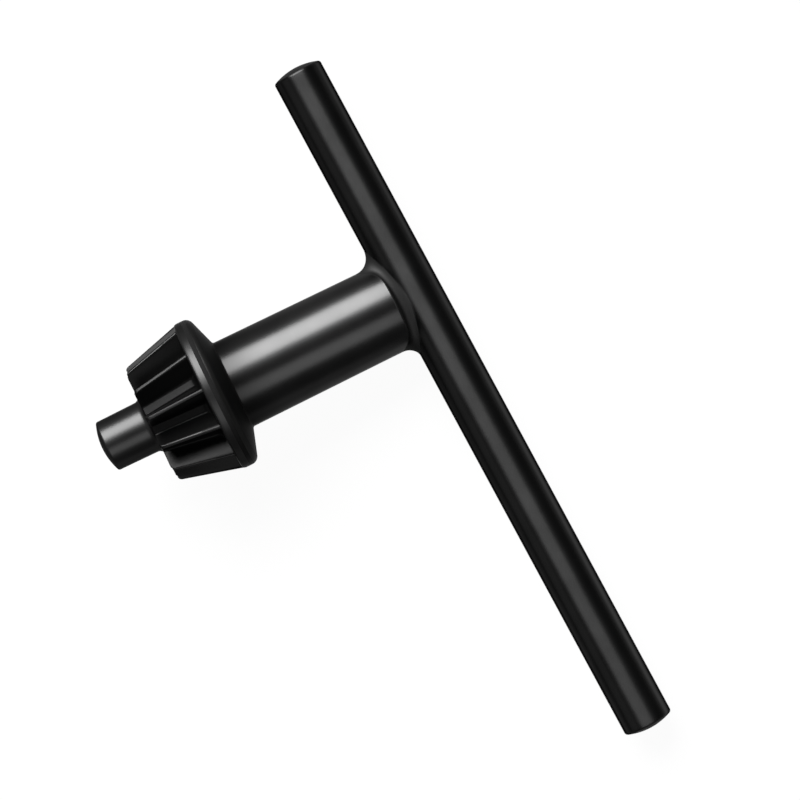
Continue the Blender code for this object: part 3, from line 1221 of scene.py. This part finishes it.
@dataclass(frozen=True)
class Studio:
    """The floor, a white light table with a low upturned edge, with the dim room and the lamps.

    Args:
        floor_radius: Radius of the floor.
        floor_paint: Reflectance of the floor, which carries the key's shadow.
        glow: Glow of the floor round the key.
        glow_far: Glow farther out.
        glow_radius: Distance from the middle of the key at which the glow starts to fall.
        glow_end: Distance at which it has fallen.
        gloss_near: Length of a mirrored ray up to which the floor shows at its full glow.
        gloss_far: Length from which it shows at its least.
        gloss_rest: Share of the glow that is left there.
        edge_height: Height of the floor's upturned edge.
        edge_round: Radius of the bend in that edge.
        room: Light of the room.
        lamp_target: Point that the lamps face, in the key's own axes.
    """

    floor_radius: float = 2.5
    floor_paint: float = 0.08
    glow: float = 0.95
    glow_far: float = 0.42
    glow_radius: float = 0.062
    glow_end: float = 0.15
    gloss_near: float = 0.003
    gloss_far: float = 0.022
    gloss_rest: float = 0.1
    edge_height: float = 0.06
    edge_round: float = 0.05
    room: float = 0.05
    lamp_target: Vector = Vector((0.010, 0.008, 0.0))

    def floor_material(self) -> bpy.types.Material:
        """White light table round the key, dimmer farther out, that keeps the key's shadow.

        Returns:
            The material.
        """
        wiring = Wiring("pale_floor")
        rays = wiring.add("ShaderNodeLightPath")
        near = wiring.add("ShaderNodeMapRange", interpolation_type="SMOOTHSTEP")
        near.inputs["From Min"].default_value = self.gloss_near
        near.inputs["From Max"].default_value = self.gloss_far
        near.inputs["To Min"].default_value = 1.0
        near.inputs["To Max"].default_value = self.gloss_rest
        wiring.join(rays.outputs["Ray Length"], near.inputs["Value"])
        mirrored = wiring.math("MAXIMUM", rays.outputs["Is Glossy Ray"], rays.outputs["Is Transmission Ray"])
        mirrored = wiring.math("MULTIPLY", mirrored, near.outputs["Result"])
        seen = wiring.math("MAXIMUM", rays.outputs["Is Camera Ray"], mirrored)
        place = wiring.add("ShaderNodeNewGeometry").outputs["Position"]
        from_key = wiring.add("ShaderNodeVectorMath", operation="LENGTH")
        wiring.join(place, from_key.inputs[0])
        falloff = wiring.add("ShaderNodeMapRange", interpolation_type="SMOOTHSTEP")
        falloff.inputs["From Min"].default_value = self.glow_radius
        falloff.inputs["From Max"].default_value = self.glow_end
        falloff.inputs["To Min"].default_value = self.glow
        falloff.inputs["To Max"].default_value = self.glow_far
        wiring.join(from_key.outputs["Value"], falloff.inputs["Value"])
        glow = wiring.add("ShaderNodeEmission")
        wiring.join(wiring.math("MULTIPLY", seen, falloff.outputs["Result"]), glow.inputs["Strength"])
        paint = wiring.add("ShaderNodeBsdfDiffuse")
        paint.inputs["Color"].default_value = (self.floor_paint, self.floor_paint, self.floor_paint, 1.0)
        both = wiring.add("ShaderNodeAddShader")
        wiring.join(glow.outputs[0], both.inputs[0])
        wiring.join(paint.outputs[0], both.inputs[1])
        wiring.join(both.outputs[0], wiring.output.inputs["Surface"])
        return wiring.material

    def build_floor(self) -> bpy.types.Object:
        """Turn the floor's outline into one sheet.

        Returns:
            The floor.
        """
        segments, bend_steps = 128, 12
        around = math.tau * np.arange(segments) / segments
        outline = [(0.0, radius) for radius in (0.05, 0.2, 0.8)]
        for step in range(bend_steps + 1):
            angle = math.pi / 2 * step / bend_steps
            outline.append((self.edge_round * (1 - math.cos(angle)),
                            self.floor_radius - self.edge_round * (1 - math.sin(angle))))
        outline.append((self.edge_height, self.floor_radius))
        bm = bmesh.new()
        rows = []
        for height, radius in outline:
            rows.append([bm.verts.new((radius * math.cos(a), radius * math.sin(a), height)) for a in around])
        bm.faces.new(rows[0])
        for row, next_row in zip(rows, rows[1:]):
            for index in range(len(row)):
                after = (index + 1) % len(row)
                bm.faces.new((row[index], next_row[index], next_row[after], row[after]))
        mesh = bpy.data.meshes.new("floor")
        bm.to_mesh(mesh)
        bm.free()
        mesh.shade_smooth()
        mesh.materials.append(self.floor_material())
        floor = bpy.data.objects.new("floor", mesh)
        bpy.context.scene.collection.objects.link(floor)
        return floor

    def build_room(self) -> None:
        """A dim, even room."""
        world = bpy.data.worlds.new("room")
        world.use_nodes = True
        shade = world.node_tree.nodes["Background"]
        shade.inputs["Color"].default_value = (1.0, 1.0, 1.0, 1.0)
        shade.inputs["Strength"].default_value = self.room
        bpy.context.scene.world = world

    def build_lamps(self, axes: KeyAxes) -> None:
        """Hang the lamps.

        The main softbox stands towards the short arm and a weaker one towards the long arm, and a
        faint card stands beyond the pilot's tip.

        Args:
            axes: The key's own axes.
        """
        lamps = (
            Softbox("main_softbox", along=math.radians(8), across=math.radians(-52),
                    width=0.74, height=0.62, power=10.0),
            Softbox("fill_softbox", along=math.radians(6), across=math.radians(28),
                    width=0.74, height=0.44, power=0.9),
            Softbox("side_card", along=math.radians(70), across=0.0,
                    width=0.5, height=0.8, power=0.2),
        )
        for lamp in lamps:
            lamp.build(axes, self.lamp_target)


@dataclass(frozen=True)
class PhotoCamera:
    """A long lens that looks almost squarely at the key's flat side.

    Args:
        aim: Point that the camera looks at, in the key's own axes.
        roll: Turn of the picture about the line of sight.
        tip_tilt: How far the picture's right side leans away.
        arm_tilt: How far the picture's top leans away.
        distance: Distance from the aim to the lens.
        shift_right: Small move of the camera to the picture's right.
        shift_up: Small move of the camera to the picture's top.
        lens: Focal length in millimetres.
        sensor: Width of the sensor in millimetres.
    """

    aim: Vector = Vector((0.0070, 0.0100, 0.0))
    roll: float = math.radians(206.09)
    tip_tilt: float = math.radians(1.07)
    arm_tilt: float = math.radians(1.55)
    distance: float = 0.5344
    shift_right: float = 0.055 * MM
    shift_up: float = -0.101 * MM
    lens: float = 211.7
    sensor: float = 36.0

    def build(self, axes: KeyAxes) -> bpy.types.Object:
        """Make the camera and set it as the scene's.

        Args:
            axes: The key's own axes.

        Returns:
            The camera.
        """
        data = bpy.data.cameras.new("camera")
        data.lens = self.lens
        data.sensor_width = self.sensor
        data.clip_start = 0.01
        data.clip_end = 20.0
        camera = bpy.data.objects.new("camera", data)
        bpy.context.scene.collection.objects.link(camera)
        turn = (Matrix.Rotation(self.arm_tilt, 3, "X") @ Matrix.Rotation(self.tip_tilt, 3, "Y")
                @ Matrix.Rotation(self.roll, 3, "Z"))
        back = Matrix.Translation((-self.shift_right, -self.shift_up, self.distance))
        camera.matrix_world = (axes.matrix @ Matrix.Translation(self.aim)
                               @ turn.transposed().to_4x4() @ back)
        bpy.context.scene.camera = camera
        return camera


def main() -> None:
    """Build the camera, the key and the studio, and report each."""
    logging.basicConfig(level=logging.INFO, format="%(name)s: %(message)s")
    bpy.context.scene.view_settings.view_transform = "Standard"
    mount = next(item for item in frame["record"]["mounts"] if item["name"] == "pinion_front")
    axes = KeyAxes.read(frame["nodes"][CAD_NODE], Vector(mount["axis"]))
    log.info("lean %.2f degrees, pilot tip %.2f mm, arms %.2f and %.2f mm", math.degrees(axes.lean),
             axes.pilot_tip / MM, axes.long_arm / MM, axes.short_arm / MM)

    PhotoCamera().build(axes)
    key = ChuckKey(axes).build()
    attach(key, BODY)
    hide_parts(CAD_NODE)
    log.info("%s: %d faces", key.name, len(key.data.polygons))

    studio = Studio()
    studio.build_floor()
    studio.build_room()
    studio.build_lamps(axes)
    log.info("studio ready")


if __name__ == "__main__":
    main()
